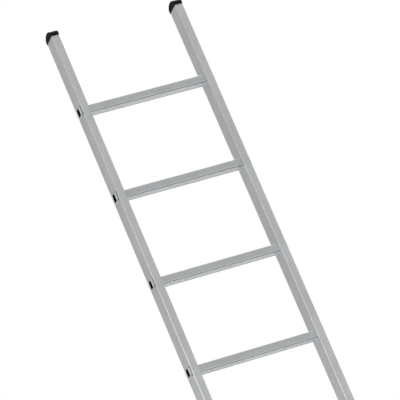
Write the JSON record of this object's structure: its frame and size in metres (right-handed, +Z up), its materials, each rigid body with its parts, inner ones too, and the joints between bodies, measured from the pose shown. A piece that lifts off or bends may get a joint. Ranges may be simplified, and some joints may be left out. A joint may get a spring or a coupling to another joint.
{
  "type": "extension ladder",
  "caption": "Aluminium push-up ladder: a base section with stabiliser bar and a fly section that slides on its front in guide straps and hangs on swinging rung hooks.",
  "frame": {"origin": "on the floor, midway between the stiles and midway between the two sections", "axes": "+X to the climber's right across the ladder, +Y from the climber towards the wall, +Z up along the stiles"},
  "size_m": [0.908, 0.1386, 3.904],
  "materials": {
    "stile_aluminium": "satin extruded, fine lengthwise draw lines",
    "rung_aluminium": "satin extruded, grooved tread",
    "black_plastic": "moulded, slight sheen",
    "foot_rubber": "moulded, matt",
    "zinc_steel": "bright zinc plated",
    "spring_steel": "drawn wire"
  },
  "bodies": {
    "base": {"base_stile_left": "stile_aluminium", "base_stile_right": "stile_aluminium", "base_rung_1": "rung_aluminium", "base_rung_2": "rung_aluminium", "base_rung_3": "rung_aluminium", "base_rung_4": "rung_aluminium", "base_rung_5": "rung_aluminium", "base_rung_6": "rung_aluminium", "base_rung_7": "rung_aluminium", "base_rung_8": "rung_aluminium", "base_cap_left": "black_plastic", "base_cap_right": "black_plastic", "base_foot_left": "foot_rubber", "base_foot_right": "foot_rubber", "stabiliser_bar": "stile_aluminium", "stabiliser_foot_left": "foot_rubber", "stabiliser_foot_right": "foot_rubber", "stabiliser_bolts": "zinc_steel", "stabiliser_nuts": "zinc_steel", "base_guide_left": "zinc_steel", "base_guide_right": "zinc_steel", "base_guide_spacers": "black_plastic", "base_glides_left": "black_plastic", "base_glides_right": "black_plastic", "base_guide_rivets": "zinc_steel"},
    "fly": {"fly_stile_left": "stile_aluminium", "fly_stile_right": "stile_aluminium", "fly_rung_1": "rung_aluminium", "fly_rung_2": "rung_aluminium", "fly_rung_3": "rung_aluminium", "fly_rung_4": "rung_aluminium", "fly_rung_5": "rung_aluminium", "fly_rung_6": "rung_aluminium", "fly_rung_7": "rung_aluminium", "fly_rung_8": "rung_aluminium", "fly_cap_left": "black_plastic", "fly_cap_right": "black_plastic", "fly_plug_left": "black_plastic", "fly_plug_right": "black_plastic", "fly_guide_left": "zinc_steel", "fly_guide_right": "zinc_steel", "fly_guide_spacers": "black_plastic", "fly_glides_left": "black_plastic", "fly_glides_right": "black_plastic", "fly_guide_rivets": "zinc_steel", "fly_stops": "black_plastic", "fly_stop_rivets": "zinc_steel", "lock_bracket_left": "zinc_steel", "lock_bracket_right": "zinc_steel", "lock_pin_left": "zinc_steel", "lock_pin_right": "zinc_steel", "lock_spring_left": "spring_steel", "lock_spring_right": "spring_steel", "lock_rivets": "zinc_steel"},
    "hook_left": {"lock_hook_left": "zinc_steel"},
    "hook_right": {"lock_hook_right": "zinc_steel"}
  },
  "joints": [
    {"name": "fly_slide", "type": "slide", "parent": "base", "child": "fly", "axis": [0, 0, 1], "range_m": [-1.4, 0]},
    {"name": "hook_left_swing", "type": "hinge", "parent": "fly", "child": "hook_left", "pos_m": [-0.1745, 0.006, 1.77], "axis": [1, 0, 0], "range_deg": [-10, 0], "stiffness_Nm_per_rad": 0.15, "springref_deg": 11.46, "deforming": ["lock_spring_left"]},
    {"name": "hook_right_swing", "type": "hinge", "parent": "fly", "child": "hook_right", "pos_m": [0.1745, 0.006, 1.77], "axis": [1, 0, 0], "range_deg": [-10, 0], "stiffness_Nm_per_rad": 0.15, "springref_deg": 11.46, "deforming": ["lock_spring_right"]}
  ]
}
